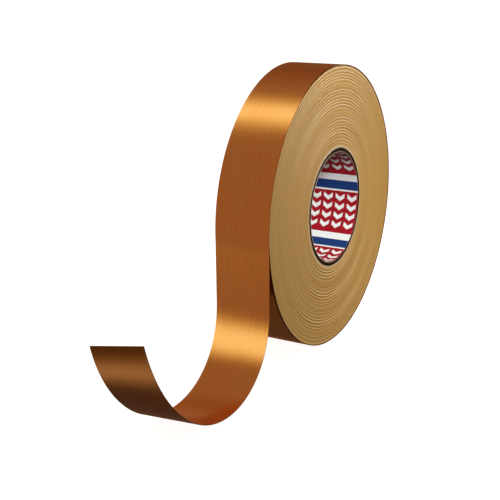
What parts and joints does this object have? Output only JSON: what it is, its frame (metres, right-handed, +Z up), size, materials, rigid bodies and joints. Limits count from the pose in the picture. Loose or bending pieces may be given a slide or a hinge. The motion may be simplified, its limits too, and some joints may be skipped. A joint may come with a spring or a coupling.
{
  "type": "copper foil tape roll",
  "caption": "Wide roll of glossy copper foil tape on a printed board core, standing on its rim, its free tail hanging, curling along the table and lifting at the tip.",
  "frame": {"origin": "centre of the bounding box's bottom face, on the surface that the roll stands on", "axes": "+Z up; X along the roll's axis, with the face seen most at +X; the free tail runs towards -Y"},
  "size_m": [0.038, 0.3236, 0.1923],
  "materials": {
    "copper_foil": "satin",
    "adhesive": "satin",
    "liner": "satin",
    "wound_edge": "matte",
    "core_board": "matte",
    "core_face": "matte",
    "core_print": "satin"
  },
  "bodies": {
    "roll": {"core_printed_lining": "core_print", "core_board_ply_1": "core_board", "core_board_ply_2": "core_board", "core_board_ply_3": "core_board", "core_board_ply_4": "core_board", "core_board_ply_5": "core_board", "core_face_ply": "core_face", "wound_turns_1": "wound_edge", "wound_turns_2": "wound_edge", "wound_turns_3": "wound_edge", "wound_turns_4": "wound_edge", "last_turn_foil": "copper_foil", "last_turn_adhesive": "adhesive", "last_turn_liner": "liner"},
    "tail_hang": {"tail_hang_foil": "copper_foil", "tail_hang_adhesive": "adhesive", "tail_hang_liner": "liner"},
    "tail_knee": {"tail_knee_foil": "copper_foil", "tail_knee_adhesive": "adhesive", "tail_knee_liner": "liner"},
    "tail_floor": {"tail_floor_foil": "copper_foil", "tail_floor_adhesive": "adhesive", "tail_floor_liner": "liner"},
    "tail_rise": {"tail_rise_foil": "copper_foil", "tail_rise_adhesive": "adhesive", "tail_rise_liner": "liner"},
    "tail_tip": {"tail_tip_foil": "copper_foil", "tail_tip_adhesive": "adhesive", "tail_tip_liner": "liner"}
  },
  "joints": [
    {"name": "tail_peel", "type": "hinge", "parent": "roll", "child": "tail_hang", "pos_m": [0, -0.03093, 0.09184], "axis": [-1, 0, 0], "range_deg": [0, 45], "stiffness_Nm_per_rad": 0.03},
    {"name": "tail_knee_flex", "type": "hinge", "parent": "tail_hang", "child": "tail_knee", "pos_m": [0, -0.03115, 0.04615], "axis": [-1, 0.0001, -0.0002], "range_deg": [0, 15], "stiffness_Nm_per_rad": 0.03},
    {"name": "tail_floor_flex", "type": "hinge", "parent": "tail_knee", "child": "tail_floor", "pos_m": [0, -0.05359, 0.00833], "axis": [-0.9998, 0.0087, -0.0195], "range_deg": [0, 15], "stiffness_Nm_per_rad": 0.03},
    {"name": "tail_rise_flex", "type": "hinge", "parent": "tail_floor", "child": "tail_rise", "pos_m": [0, -0.09828, 0.00362], "axis": [-0.9971, 0.0312, -0.07], "range_deg": [-20, 20], "stiffness_Nm_per_rad": 0.03},
    {"name": "tail_tip_flex", "type": "hinge", "parent": "tail_rise", "child": "tail_tip", "pos_m": [0, -0.13715, 0.02931], "axis": [-0.9864, 0.0669, -0.1502], "range_deg": [-35, 20], "stiffness_Nm_per_rad": 0.03}
  ]
}
